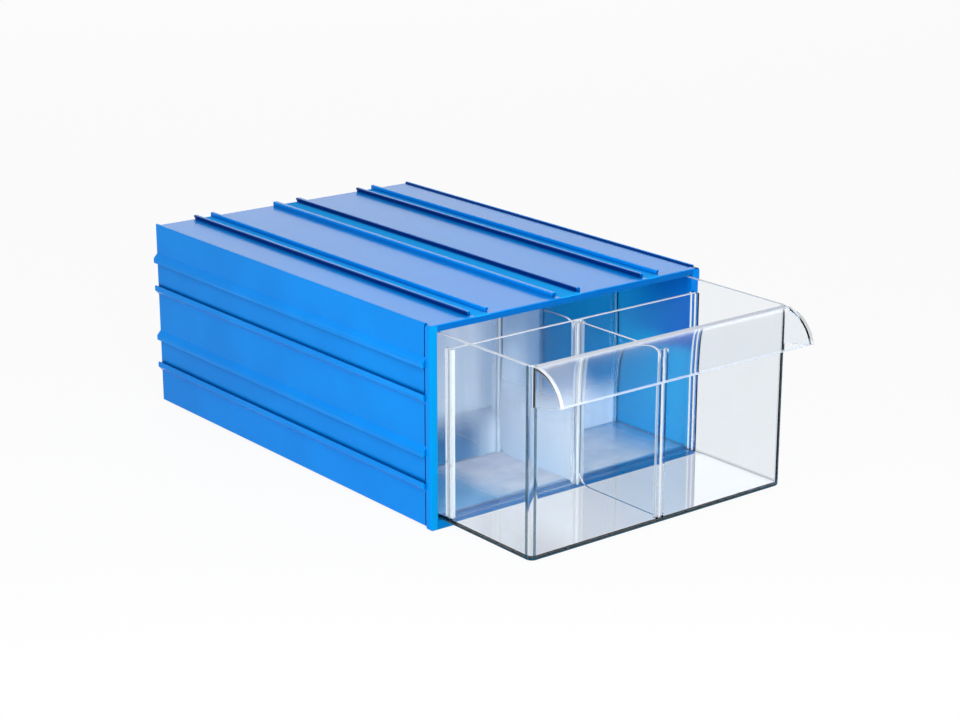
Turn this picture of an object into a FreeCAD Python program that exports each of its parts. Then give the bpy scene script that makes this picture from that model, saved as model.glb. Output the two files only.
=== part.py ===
"""Stackable drawer box: a moulded casing, a clear drawer with a rolled pull, and loose divider plates.

Millimetres. X runs across the box, Y from the front to the back and Z up. The origin is the middle of the
casing's base. The drawer stands part of the way out, as it is shown.
"""

import os

import FreeCAD
import Part
import Sketcher

SIZES = [
    ("casing_width", 176.0, "Casing, over the front rim"),
    ("casing_depth", 255.0, "Casing, front to back"),
    ("casing_height", 104.0, "Casing, over the front rim"),
    ("rim_depth", 4.0, "Front rim, front to back"),
    ("rim_width", 4.6, "Front rim, width of its uprights"),
    ("rim_head", 3.4, "Front rim, height of its head"),
    ("side_step", 0.6, "Front rim, how far it stands out from the side panels"),
    ("top_step", 0.3, "Front rim, how far it stands above the top panel"),
    ("foot_step", 1.4, "Front rim, how far its foot stands below the side panels"),
    ("side_wall", 2.6, "Casing side panels, thickness"),
    ("top_wall", 2.2, "Casing top panel, thickness"),
    ("back_wall", 2.6, "Casing back panel, thickness"),
    ("casing_floor", 2.5, "Casing floor, thickness"),
    ("base_hollow", 2.3, "Depth of the hollow under the casing floor"),
    ("edge_rise", 1.0, "Ridge along each side of the top panel, height"),
    ("edge_width", 1.4, "Ridge along each side of the top panel, width"),
    ("rail_rise", 2.4, "Stacking rails, height over a panel"),
    ("rail_width", 14.0, "Tongue rail, over its hooks"),
    ("tongue_stem", 1.4, "Tongue rail, thickness of a stem"),
    ("channel_stem", 2.0, "Channel rail, thickness of a stem"),
    ("hook_reach", 1.2, "Rail hooks, overhang"),
    ("hook_height", 0.9, "Rail hooks, thickness"),
    ("rail_clearance", 0.3, "Gap between a tongue and its channel, each side"),
    ("rail_offset", 56.0, "Outer rails on top and base, from the middle"),
    ("side_rail_pitch", 45.0, "Spacing of the two rails on a side"),
    ("side_rail_middle", 53.5, "Middle of the side rails, above the base"),
    ("drawer_side_gap", 1.0, "Gap between the drawer and the rim, each side"),
    ("drawer_top_gap", 0.6, "Gap between the drawer and the head of the rim"),
    ("drawer_back_gap", 0.9, "Gap between the closed drawer and the casing's back panel"),
    ("drawer_lift", 0.2, "Gap between the drawer and the casing floor"),
    ("drawer_wall", 2.2, "Drawer walls, thickness"),
    ("drawer_base", 2.2, "Drawer floor, thickness"),
    ("drawer_corner", 4.0, "Drawer upright corners, outside radius"),
    ("drawer_edge", 1.5, "Drawer bottom edges, outside radius"),
    ("drawer_out", 69.0, "How far the drawer stands out of the casing"),
    ("pull_radius", 19.5, "Rolled pull, outside radius"),
    ("pull_sheet", 2.0, "Rolled pull and its end plates, thickness"),
    ("pull_turn", 78.0, "Rolled pull, degrees of turn"),
    ("pull_inset", 1.0, "Rolled pull, set in from the drawer's sides"),
    ("plate", 1.6, "Divider plates, thickness"),
    ("plate_gap", 0.3, "Gap between a divider plate and what holds it"),
    ("cross_drop", 6.8, "Cross dividers, how far they stop below the drawer's top"),
    ("centre_drop", 7.8, "Lengthwise dividers, how far they stop below the drawer's top"),
    ("plate_corner", 9.0, "Lengthwise dividers, radius of the rounded corners"),
    ("rib_width", 1.4, "Slot ribs, thickness"),
    ("rib_reach", 2.0, "Slot ribs, depth"),
    ("cut_margin", 4.0, "How far a cutting block runs past the face it opens"),
]
ROWS = 4
TOUCH = 1e-6

doc = FreeCAD.newDocument("drawer_box")
sheet = doc.addObject("Spreadsheet::Sheet", "Sizes")
for row, (alias, value, note) in enumerate(SIZES, start=1):
    sheet.set(f"A{row}", note)
    sheet.set(f"B{row}", str(value))
    sheet.setAlias(f"B{row}", alias)
doc.recompute()


def size(text):
    """An expression with each of the sheet's names pointed at the sheet."""
    words = text.replace("(", " ( ").replace(")", " ) ").split()
    names = {alias for alias, _, _ in SIZES}
    return " ".join(f"Sizes.{word}" if word in names else word for word in words)


def number(text):
    """The value of an expression at the sheet's present sizes."""
    return float(sheet.evalExpression(size(text)))


# Places that several pieces share

FRONT = "( 0 - casing_depth / 2 )"
BACK = "( casing_depth / 2 )"
RIM_BACK = f"( {FRONT} + rim_depth )"
PANEL_SIDE = "( casing_width / 2 - side_step )"
PANEL_TOP = "( casing_height - top_step )"
MOUTH_SIDE = "( casing_width / 2 - rim_width )"
MOUTH_TOP = "( casing_height - rim_head )"
CAVITY_SIDE = f"( {PANEL_SIDE} - side_wall )"
CAVITY_TOP = f"( {PANEL_TOP} - top_wall )"
CAVITY_FLOOR = "( base_hollow + casing_floor )"
DRAWER_FRONT = f"( {FRONT} - drawer_out )"
DRAWER_UNDER = f"( {CAVITY_FLOOR} + drawer_lift )"
DRAWER_SIDE = f"( {MOUTH_SIDE} - drawer_side_gap )"
DRAWER_INSIDE = f"( {DRAWER_SIDE} - drawer_wall )"
DRAWER_LENGTH = "( casing_depth - back_wall - drawer_back_gap )"
DRAWER_HEIGHT = f"( {MOUTH_TOP} - drawer_top_gap - {DRAWER_UNDER} )"
CROSS_HEIGHT = f"( {DRAWER_HEIGHT} - drawer_base - cross_drop )"
CENTRE_HEIGHT = f"( {DRAWER_HEIGHT} - drawer_base - centre_drop )"
ROW_LENGTH = f"( ( {DRAWER_LENGTH} - 2 * drawer_wall - {ROWS - 1} * plate ) / {ROWS} )"
ROW_PITCH = f"( {ROW_LENGTH} + plate )"
SLOT_HALF = "( plate / 2 + plate_gap )"
RIB_OUTSIDE = f"( {SLOT_HALF} + rib_width )"


# Casing: blocks joined and cut


def block(name, x, y, z):
    """A box whose low and high limits along each axis are expressions."""
    box = doc.addObject("Part::Box", name)
    for axis, length, (low, high) in zip("xyz", ("Length", "Width", "Height"), (x, y, z)):
        box.setExpression(f"Placement.Base.{axis}", size(low))
        box.setExpression(length, size(f"( {high} ) - ( {low} )"))
    return box


def both_ways(half):
    """Limits that lie the same distance either side of the middle."""
    return f"0 - {half}", half


RAIL_RUN = (RIM_BACK, BACK)


def bar(name, face, across, off):
    """A straight bar along a face, between limits across the face and limits off its surface."""
    direction, surface = face[1:]
    if direction == "outward":
        span = (f"{surface} + ( {off[0]} )", f"{surface} + ( {off[1]} )")
    else:
        span = (f"{surface} - ( {off[1]} )", f"{surface} - ( {off[0]} )")
    if face[0] == "level":
        return block(name, across, RAIL_RUN, span)
    return block(name, span, RAIL_RUN, across)


TOP = ("level", "outward", PANEL_TOP)
BASE = ("level", "inward", "base_hollow")
LEFT = ("upright", "inward", f"( 0 - {PANEL_SIDE} )")
RIGHT = ("upright", "outward", PANEL_SIDE)
TONGUE_HOOK = "( rail_width / 2 )"
TONGUE_STEM = f"( {TONGUE_HOOK} - hook_reach )"
CHANNEL_STEM = f"( {TONGUE_HOOK} + rail_clearance )"


def hooked_pair(name, face, middle, rise, stem, hook):
    """Two stems with a hook each, mirrored about the rail's middle line."""
    bars = []
    for side, sign in (("a", "-"), ("b", "+")):
        for piece, (inner, outer), off in (
            ("stem", stem, ("0", rise)),
            ("hook", hook, (f"{rise} - hook_height", rise)),
        ):
            limits = [f"{middle} {sign} {outer}", f"{middle} {sign} {inner}"]
            if sign == "+":
                limits.reverse()
            bars.append(bar(f"{name}_{piece}_{side}", face, limits, off))
    return bars


def tongue(name, face, middle):
    """A rail whose hooks turn outwards."""
    stem = (f"( {TONGUE_STEM} - tongue_stem )", TONGUE_STEM)
    return hooked_pair(name, face, middle, "rail_rise", stem, (TONGUE_STEM, TONGUE_HOOK))


def channel(name, face, middle, rise):
    """A rail whose hooks turn inwards, round a tongue of the next box."""
    stem = (CHANNEL_STEM, f"( {CHANNEL_STEM} + channel_stem )")
    hook = (f"( {CHANNEL_STEM} - hook_reach )", CHANNEL_STEM)
    return hooked_pair(name, face, middle, rise, stem, hook)


def base_tongue():
    """The solid tongue under the middle of the base, flush with the foot of the rim."""
    stem = bar("base_tongue_stem", BASE, both_ways(TONGUE_STEM), ("0", "base_hollow"))
    head = bar("base_tongue_head", BASE, both_ways(TONGUE_HOOK), ("base_hollow - hook_height", "base_hollow"))
    return [stem, head]


def top_edges():
    """The low ridges along both sides of the top panel."""
    spans = {
        "left": (f"0 - {PANEL_SIDE}", f"0 - {PANEL_SIDE} + edge_width"),
        "right": (f"{PANEL_SIDE} - edge_width", PANEL_SIDE),
    }
    return [bar(f"top_edge_{side}", TOP, span, ("0", "edge_rise")) for side, span in spans.items()]


def joined(name, shapes):
    """Several shapes as one solid, with faces in one plane merged."""
    union = doc.addObject("Part::MultiFuse", name)
    union.Shapes = shapes
    union.Refine = True
    return union


def casing():
    """The one-piece casing: panels, front rim and rails, open at the front and hollow under its floor."""
    panels = block("casing_panels", both_ways(PANEL_SIDE), (FRONT, BACK), ("foot_step", PANEL_TOP))
    rim = block("casing_rim", both_ways("casing_width / 2"), (FRONT, RIM_BACK), ("0", "casing_height"))
    mouth = block(
        "casing_mouth",
        both_ways(MOUTH_SIDE),
        (f"{FRONT} - cut_margin", f"{RIM_BACK} + cut_margin"),
        (CAVITY_FLOOR, MOUTH_TOP),
    )
    cavity = block(
        "casing_cavity",
        both_ways(CAVITY_SIDE),
        (RIM_BACK, f"{BACK} - back_wall"),
        (CAVITY_FLOOR, CAVITY_TOP),
    )
    hollow = block(
        "base_cavity",
        both_ways(CAVITY_SIDE),
        (RIM_BACK, f"{BACK} + cut_margin"),
        ("0 - cut_margin", "base_hollow"),
    )
    shell = doc.addObject("Part::Cut", "casing_shell")
    shell.Base = joined("casing_outside", [panels, rim])
    shell.Tool = joined("casing_hollows", [mouth, cavity, hollow])
    rails = top_edges() + base_tongue() + channel("top_channel", TOP, "0", "rail_rise")
    for side, sign in (("left", "-"), ("right", "+")):
        rails += tongue(f"top_tongue_{side}", TOP, f"0 {sign} rail_offset")
        rails += channel(f"base_channel_{side}", BASE, f"0 {sign} rail_offset", "base_hollow")
    for level, sign in (("lower", "-"), ("upper", "+")):
        height = f"side_rail_middle {sign} side_rail_pitch / 2"
        rails += channel(f"left_channel_{level}", LEFT, height, "rail_rise")
        rails += tongue(f"right_tongue_{level}", RIGHT, height)
    whole = joined("casing", [shell] + rails)
    whole.Label = "casing"
    return whole


# Drawer and dividers: sketched bodies


def body(label, x, y, z):
    """An empty body placed by expressions."""
    made = doc.addObject("PartDesign::Body", label)
    made.Label = label
    for axis, place in zip("xyz", (x, y, z)):
        made.setExpression(f"Placement.Base.{axis}", size(place))
    return made


def sketch_on(owner, name, plane, offset="0"):
    """A sketch on one of a body's own planes, moved along the plane's normal."""
    drawn = owner.newObject("Sketcher::SketchObject", name)
    origin = next(item for item in owner.Origin.OriginFeatures if item.Role == plane)
    drawn.AttachmentSupport = [(origin, "")]
    drawn.MapMode = "FlatFace"
    drawn.setExpression("AttachmentOffset.Base.z", size(offset))
    return drawn


def rectangle(drawn, name, across, along):
    """A rectangle held by its four distances from the sketch's origin."""
    left, right = (number(limit) for limit in across)
    low, high = (number(limit) for limit in along)
    corners = [(left, low), (right, low), (right, high), (left, high)]
    first = drawn.GeometryCount
    for start, end in zip(corners, corners[1:] + corners[:1]):
        drawn.addGeometry(Part.LineSegment(FreeCAD.Vector(*start, 0), FreeCAD.Vector(*end, 0)), False)
    for edge in range(4):
        drawn.addConstraint(Sketcher.Constraint("Coincident", first + edge, 2, first + (edge + 1) % 4, 1))
        drawn.addConstraint(Sketcher.Constraint("Vertical" if edge % 2 else "Horizontal", first + edge))
    limits = (
        ("left", "DistanceX", first, across[0]),
        ("right", "DistanceX", first + 2, across[1]),
        ("low", "DistanceY", first, along[0]),
        ("high", "DistanceY", first + 2, along[1]),
    )
    for end, kind, edge, limit in limits:
        index = drawn.addConstraint(Sketcher.Constraint(kind, -1, 1, edge, 1, number(limit)))
        drawn.renameConstraint(index, f"{name}_{end}")
        drawn.setExpression(f"Constraints.{name}_{end}", size(limit))


def pad(owner, drawn, length, midplane=False):
    """A sketch raised to a length."""
    raised = owner.newObject("PartDesign::Pad", f"{drawn.Name}_pad")
    raised.Profile = drawn
    raised.Midplane = midplane
    raised.setExpression("Length", size(length))
    doc.recompute()
    return raised


def rounded(owner, base, name, radius, chosen):
    """A fillet on the edges of the base feature that a test picks."""
    fillet = owner.newObject("PartDesign::Fillet", name)
    edges = [f"Edge{index}" for index, edge in enumerate(base.Shape.Edges, start=1) if chosen(edge.BoundBox)]
    fillet.Base = (base, edges)
    fillet.setExpression("Radius", size(radius))
    doc.recompute()
    return fillet


def upright(box):
    """Whether an edge's box is that of an upright line."""
    return box.ZLength > TOUCH and max(box.XLength, box.YLength) < TOUCH


def slot_pairs(drawn, name, faces, middle):
    """Two ribs on each wall face, with a plate's slot between them.

    Each face is the pair of limits, along the sketch's first axis, that a rib fills.
    """
    for face_name, across in faces:
        for side, along in (
            ("near", (f"{middle} - {RIB_OUTSIDE}", f"{middle} - {SLOT_HALF}")),
            ("far", (f"{middle} + {SLOT_HALF}", f"{middle} + {RIB_OUTSIDE}")),
        ):
            rectangle(drawn, f"{name}_{face_name}_{side}", across, along)


PULL_SIDE = f"( {DRAWER_SIDE} - pull_inset )"
PULL_AXIS = f"( {DRAWER_HEIGHT} - pull_radius )"


def pull_part(owner, name, outlines):
    """Rectangles on the drawer's front face, rooted in the wall and turned forward about the pull's axis."""
    section = sketch_on(owner, name, "XZ_Plane")
    for label, across, along in outlines:
        rectangle(section, label, across, along)
    height = number(PULL_AXIS)
    axis = section.addGeometry(
        Part.LineSegment(FreeCAD.Vector(0, height, 0), FreeCAD.Vector(1, height, 0)), True)
    section.addConstraint(Sketcher.Constraint("Horizontal", axis))
    section.addConstraint(Sketcher.Constraint("PointOnObject", axis, 1, -2))
    section.addConstraint(Sketcher.Constraint("DistanceX", axis, 1, axis, 2, 1))
    index = section.addConstraint(Sketcher.Constraint("DistanceY", -1, 1, axis, 1, height))
    section.renameConstraint(index, "axis_height")
    section.setExpression("Constraints.axis_height", size(PULL_AXIS))
    root = pad(owner, section, "drawer_wall")
    root.Reversed = True
    turned = owner.newObject("PartDesign::Revolution", f"{name}_turned")
    turned.Profile = section
    turned.ReferenceAxis = (section, ["Axis0"])
    turned.setExpression("Angle", size("pull_turn"))
    doc.recompute()


def drawer():
    """The clear drawer: walls and floor in one, a rolled pull with closed ends, and slots for the plates."""
    made = body("drawer", "0", DRAWER_FRONT, DRAWER_UNDER)
    outline = sketch_on(made, "drawer_outline", "XY_Plane")
    rectangle(outline, "outline", both_ways(DRAWER_SIDE), ("0", DRAWER_LENGTH))
    solid = pad(made, outline, DRAWER_HEIGHT)
    corners = rounded(made, solid, "drawer_corners", "drawer_corner", upright)
    rounded(made, corners, "drawer_foot", "drawer_edge", lambda box: box.ZMax < TOUCH)
    inside = sketch_on(made, "drawer_inside", "XY_Plane", "drawer_base")
    rectangle(inside, "inside", both_ways(DRAWER_INSIDE), ("drawer_wall", f"{DRAWER_LENGTH} - drawer_wall"))
    hollow = made.newObject("PartDesign::Pocket", "drawer_hollow")
    hollow.Profile = inside
    hollow.Reversed = True
    hollow.setExpression("Length", size(DRAWER_HEIGHT))
    doc.recompute()
    inside_limit = number(DRAWER_INSIDE) + TOUCH
    rounded(made, hollow, "drawer_inner_corners", "drawer_corner - drawer_wall",
            lambda box: upright(box) and abs(box.XMin) < inside_limit)
    pull_part(made, "pull_ends", [
        ("left", (f"0 - {PULL_SIDE}", f"0 - {PULL_SIDE} + pull_sheet"), (PULL_AXIS, DRAWER_HEIGHT)),
        ("right", (f"{PULL_SIDE} - pull_sheet", PULL_SIDE), (PULL_AXIS, DRAWER_HEIGHT)),
    ])
    pull_part(made, "pull", [
        ("sheet", both_ways(PULL_SIDE), (f"{DRAWER_HEIGHT} - pull_sheet", DRAWER_HEIGHT)),
    ])
    slots = sketch_on(made, "cross_slots", "XY_Plane", "drawer_base")
    walls = (
        ("left", (f"0 - {DRAWER_INSIDE}", f"0 - {DRAWER_INSIDE} + rib_reach")),
        ("right", (f"{DRAWER_INSIDE} - rib_reach", DRAWER_INSIDE)),
    )
    for place in range(1, ROWS):
        middle = f"drawer_wall + {place} * {ROW_PITCH} - plate / 2"
        slot_pairs(slots, f"slot_{place}", walls, middle)
    pad(made, slots, CROSS_HEIGHT)
    ends = sketch_on(made, "centre_slots", "XY_Plane", "drawer_base")
    for end, along in (
        ("front", ("drawer_wall", "drawer_wall + rib_reach")),
        ("back", (f"{DRAWER_LENGTH} - drawer_wall - rib_reach", f"{DRAWER_LENGTH} - drawer_wall")),
    ):
        centre_ribs(ends, end, along)
    made.Tip = pad(made, ends, CENTRE_HEIGHT)
    return made


def centre_ribs(drawn, name, along):
    """Two ribs either side of the middle plane, with a lengthwise plate's slot between them."""
    rectangle(drawn, f"{name}_left", (f"0 - {RIB_OUTSIDE}", f"0 - {SLOT_HALF}"), along)
    rectangle(drawn, f"{name}_right", (SLOT_HALF, RIB_OUTSIDE), along)


PLATE_UNDER = f"{DRAWER_UNDER} + drawer_base"


def cross_divider(place):
    """A plate across the drawer with a ribbed slot in the middle of each face."""
    middle = f"{DRAWER_FRONT} + drawer_wall + {place} * {ROW_PITCH} - plate / 2"
    made = body(f"cross_divider_{place}", "0", middle, PLATE_UNDER)
    outline = sketch_on(made, f"cross_outline_{place}", "XY_Plane")
    rectangle(outline, "outline", both_ways(f"( {DRAWER_INSIDE} - plate_gap )"), both_ways("plate / 2"))
    pad(made, outline, CROSS_HEIGHT)
    ribs = sketch_on(made, f"cross_ribs_{place}", "XY_Plane")
    centre_ribs(ribs, "front", ("0 - plate / 2 - rib_reach", "0 - plate / 2"))
    centre_ribs(ribs, "back", ("plate / 2", "plate / 2 + rib_reach"))
    made.Tip = pad(made, ribs, CENTRE_HEIGHT)
    return made


def centre_divider(place):
    """A short plate along the drawer, with its upper front and lower back corners rounded."""
    start = f"{DRAWER_FRONT} + drawer_wall + {place - 1} * {ROW_PITCH}"
    made = body(f"centre_divider_{place}", "0", start, PLATE_UNDER)
    outline = sketch_on(made, f"centre_outline_{place}", "YZ_Plane")
    rectangle(outline, "outline", ("plate_gap", f"{ROW_LENGTH} - plate_gap"), ("0", CENTRE_HEIGHT))
    plate = pad(made, outline, "plate", midplane=True)
    front, back = number("plate_gap"), number(f"{ROW_LENGTH} - plate_gap")
    top = number(CENTRE_HEIGHT)

    def rounded_corner(box):
        """Whether an edge's box is the upper front or the lower back corner."""
        upper_front = abs(box.YMax - front) < TOUCH and abs(box.ZMin - top) < TOUCH
        lower_back = abs(box.YMin - back) < TOUCH and abs(box.ZMax) < TOUCH
        return upper_front or lower_back

    made.Tip = rounded(made, plate, f"centre_corners_{place}", "plate_corner", rounded_corner)
    return made


pieces = [casing(), drawer()]
pieces += [cross_divider(place) for place in range(1, ROWS)]
pieces += [centre_divider(place) for place in range(1, ROWS + 1)]
doc.recompute()

for item in doc.Objects:
    if "Invalid" in item.State or "Error" in item.State:
        raise RuntimeError(f"{item.Label} failed: {item.State}")
for piece in pieces:
    shape = piece.Shape
    if shape.isNull() or not shape.isValid() or len(shape.Solids) != 1:
        raise RuntimeError(f"{piece.Label} is not one valid solid")

os.makedirs("parts", exist_ok=True)
for piece in pieces:
    piece.Shape.exportStep(f"parts/{piece.Label}.step")
    box = piece.Shape.BoundBox
    print(f"{piece.Label}: {piece.Shape.Volume / 1000:.1f} cm3, X {box.XMin:.2f} {box.XMax:.2f}, "
          f"Y {box.YMin:.2f} {box.YMax:.2f}, Z {box.ZMin:.2f} {box.ZMax:.2f}")
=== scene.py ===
"""Stackable drawer box: a glossy blue casing, a clear drawer with a rolled pull, clear plates."""

import logging
import math
from dataclasses import dataclass, field
from enum import Enum
from functools import reduce
from typing import Callable, Iterable, Sequence, Union

import bmesh
import bpy
from mathutils import Matrix, Vector


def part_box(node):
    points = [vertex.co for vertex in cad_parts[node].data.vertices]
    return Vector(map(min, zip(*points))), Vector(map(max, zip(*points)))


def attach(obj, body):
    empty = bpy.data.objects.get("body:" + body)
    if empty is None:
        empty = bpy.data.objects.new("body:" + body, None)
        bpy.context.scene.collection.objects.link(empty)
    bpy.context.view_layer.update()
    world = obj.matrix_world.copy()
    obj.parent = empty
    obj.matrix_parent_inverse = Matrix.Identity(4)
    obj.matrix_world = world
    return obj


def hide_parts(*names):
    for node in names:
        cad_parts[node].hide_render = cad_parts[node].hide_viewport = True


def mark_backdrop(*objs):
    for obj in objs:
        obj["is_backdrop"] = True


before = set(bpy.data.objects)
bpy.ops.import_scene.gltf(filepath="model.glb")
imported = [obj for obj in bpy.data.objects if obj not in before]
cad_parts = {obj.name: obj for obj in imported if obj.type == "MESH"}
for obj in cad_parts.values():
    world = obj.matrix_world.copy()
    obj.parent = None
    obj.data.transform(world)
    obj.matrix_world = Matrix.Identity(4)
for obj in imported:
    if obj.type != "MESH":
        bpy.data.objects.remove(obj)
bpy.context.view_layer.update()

LOG = logging.getLogger("drawer_box")
MM = 0.001
SEEN = ("Is Camera Ray", "Is Glossy Ray", "Is Transmission Ray")
LIT_THROUGH = ("Is Shadow Ray", "Is Diffuse Ray")

Pair = tuple[float, float]
Triple = tuple[float, float, float]
Colour = Triple
Piece = bpy.types.Object
Finish = bpy.types.Material


# Shader expressions


def operator(operation: str, reflected: bool = False) -> Callable[["Wire", "Value"], "Wire"]:
    """An operator for shader sockets.

    Args:
        operation: the operation of the Math node that it adds.
        reflected: whether the other operand comes first.

    Returns:
        The operator as a method.
    """

    def method(self: "Wire", other: "Value") -> "Wire":
        """The Math node's result for this value and another."""
        return self.maths(operation, *((other, self) if reflected else (self, other)))

    return method


class Wire:
    """A shader socket that takes part in Python expressions."""

    def __init__(self, tree: "Shader", socket: bpy.types.NodeSocket) -> None:
        """Wraps an output socket of a tree."""
        self.tree = tree
        self.socket = socket

    def maths(self, operation: str, *values: "Value") -> "Wire":
        """The result of one Math node, from its operands in order."""
        return self.tree.node("ShaderNodeMath", {"operation": operation}, dict(enumerate(values)))

    __add__, __radd__ = operator("ADD"), operator("ADD", reflected=True)
    __sub__, __rsub__ = operator("SUBTRACT"), operator("SUBTRACT", reflected=True)
    __mul__, __rmul__ = operator("MULTIPLY"), operator("MULTIPLY", reflected=True)
    most = operator("MAXIMUM")

    def __abs__(self) -> "Wire":
        """The value without its sign."""
        return self.maths("ABSOLUTE", self)

    def ramp(self, start: float, end: float) -> "Wire":
        """A smooth climb from 0 at one value to 1 at another, which may be the smaller."""
        sockets = {"Value": self, "From Min": start, "From Max": end}
        return self.tree.node("ShaderNodeMapRange", {"interpolation_type": "SMOOTHSTEP"}, sockets)


Value = Union[float, Colour, Wire]


class Shader:
    """A node tree with short ways to add to it."""

    def __init__(self, tree: bpy.types.NodeTree) -> None:
        """Takes a node tree and empties it."""
        self.tree = tree
        tree.nodes.clear()

    def node(self, kind: str, settings: dict, sockets: dict, output: Union[int, str] = 0) -> Wire:
        """Adds any node.

        Args:
            kind: the node's type name.
            settings: its properties, set before its sockets.
            sockets: values or links, by the socket's name or place.
            output: the name or place of the output that is wanted.

        Returns:
            That output.
        """
        made = self.tree.nodes.new(kind)
        for name, value in settings.items():
            setattr(made, name, value)
        for name, value in sockets.items():
            socket = made.inputs[name]
            if isinstance(value, Wire):
                self.tree.links.new(value.socket, socket)
            elif isinstance(value, tuple) and socket.type == "RGBA":
                socket.default_value = (*value, 1.0)
            else:
                socket.default_value = value
        return Wire(self, made.outputs[output] if made.outputs else made.inputs[0])

    def local(self) -> Wire:
        """The point on the piece, in its own frame, in metres."""
        return self.node("ShaderNodeTexCoord", {}, {}, "Object")

    def geometry(self, output: str) -> Wire:
        """One output of a Geometry node."""
        return self.node("ShaderNodeNewGeometry", {}, {}, output)

    def ray(self, kinds: Sequence[str]) -> Wire:
        """1 for a ray of one of the Light Path node's kinds and 0 for any other."""
        path = self.node("ShaderNodeLightPath", {}, {}).socket.node.outputs
        return reduce(Wire.most, [Wire(self, path[kind]) for kind in kinds])

    def axes(self, vector: Wire) -> list[Wire]:
        """The X, Y and Z of a vector."""
        parts = self.node("ShaderNodeSeparateXYZ", {}, {"Vector": vector}).socket.node.outputs
        return [Wire(self, part) for part in parts]

    def stretched(self, vector: Wire, scale: Triple) -> Wire:
        """A vector scaled axis by axis."""
        return self.node("ShaderNodeVectorMath", {"operation": "MULTIPLY"}, {0: vector, 1: scale})

    def noise(self, vector: Wire, scale: float, detail: float) -> Wire:
        """Soft noise around one half, of some blotches to the unit and some finer layers."""
        sockets = {"Vector": vector, "Scale": scale, "Detail": detail}
        return self.node("ShaderNodeTexNoise", {}, sockets, "Fac")

    def blend(self, share: Wire, first: Value, second: Value) -> Wire:
        """A mix of two colours, the first at 0 and the second at 1."""
        sockets = {0: share, 6: first, 7: second}
        return self.node("ShaderNodeMix", {"data_type": "RGBA"}, sockets, 2)

    def mixed(self, share: Wire, first: Wire, second: Wire) -> Wire:
        """A mix of two shaders, the first at 0 and the second at 1."""
        return self.node("ShaderNodeMixShader", {}, {0: share, 1: first, 2: second})

    def bump(self, height: Wire, distance: float, strength: float) -> Wire:
        """A normal raised by a height, of which 1 measures a distance in metres."""
        sockets = {"Strength": strength, "Distance": distance, "Height": height}
        return self.node("ShaderNodeBump", {}, sockets)


class Axis(Enum):
    """What a zone is measured along: the place in millimetres, or the way the surface faces.

    Each has its source, the axis of it, and its sign, or 0 for the size without a sign.
    """

    RIGHT = ("place", 0, 1)
    LEFT = ("place", 0, -1)
    ACROSS = ("place", 0, 0)
    BACK = ("place", 1, 1)
    UP = ("place", 2, 1)
    TO_RIGHT = ("facing", 0, 1)
    TO_LEFT = ("facing", 0, -1)
    TO_SIDE = ("facing", 0, 0)
    TO_FRONT = ("facing", 1, -1)
    TO_BASE = ("facing", 2, -1)


Zone = tuple[tuple[Axis, float, float], ...]


def between(axis: Axis, low: float, high: float, fade: float = 0.1) -> Zone:
    """A zone from one measure to another, which fades in and out inside them."""
    return (axis, low, low + fade), (axis, high, high - fade)


class Spot:
    """The point that is shaded: its place in millimetres and the way that the surface faces."""

    def __init__(self, shader: Shader) -> None:
        """Adds the nodes that read them.

        Args:
            shader: the tree to add to.
        """
        self.shader = shader
        self.point = shader.local()
        self.sources = {
            "place": shader.axes(shader.stretched(self.point, (1 / MM,) * 3)),
            "facing": shader.axes(shader.geometry("True Normal")),
        }

    def along(self, axis: Axis) -> Wire:
        """The point's measure along an axis.

        Args:
            axis: what is measured.

        Returns:
            The measure.
        """
        source, index, sign = axis.value
        part = self.sources[source][index]
        if sign == 0:
            return abs(part)
        return part if sign > 0 else 0 - part

    def inside(self, *zones: Zone) -> Wire:
        """How far the point lies in some zones.

        Args:
            zones: each a row of ramps: an axis, the measure where it is 0 and that where it is 1.

        Returns:
            The product of a zone's ramps, and the largest where there are several zones.
        """
        shares = []
        for zone in zones:
            ramps = [self.along(axis).ramp(start, end) for axis, start, end in zone]
            shares.append(reduce(Wire.__mul__, ramps))
        return reduce(Wire.most, shares)

    def outside(self) -> Wire:
        """1 where a ray meets the surface from outside and 0 from within the plastic."""
        return 1 - self.shader.geometry("Backfacing")


# Finishes


# What several zones start from, in millimetres.
AHEAD: Zone = ((Axis.TO_FRONT, 0.85, 0.95),)
RIGHT_JAMB: Zone = ((Axis.RIGHT, 83.2, 83.3),)
OVER_TOP: Zone = ((Axis.UP, 103.7, 103.9),)
RAIL_FLOOR = between(Axis.UP, 103.2, 104.3, fade=0.3)
LEFT_HOOKS: Triple = (-61.7, 7.7, 50.3)
HOOK_HALF = 1.9
DRAWER_FLOOR = between(Axis.UP, 6.8, 7.6)
ABOVE_FLOOR: Zone = ((Axis.UP, 7.6, 7.7),)
UNDER: Zone = ((Axis.UP, 6.6, 6.5),)
PULL: Zone = ((Axis.BACK, -197.0, -197.5),)
PULL_ENDS: Zone = (*PULL, (Axis.ACROSS, 79.2, 79.4))
SECOND_ROW_BACK: Zone = ((Axis.BACK, -68.0, -75.0),)


def new_material(name: str) -> tuple[Finish, Shader]:
    """An empty node material.

    Args:
        name: the material's name.

    Returns:
        The material and its emptied tree.
    """
    material = bpy.data.materials.new(name)
    material.use_nodes = True
    return material, Shader(material.node_tree)


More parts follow.
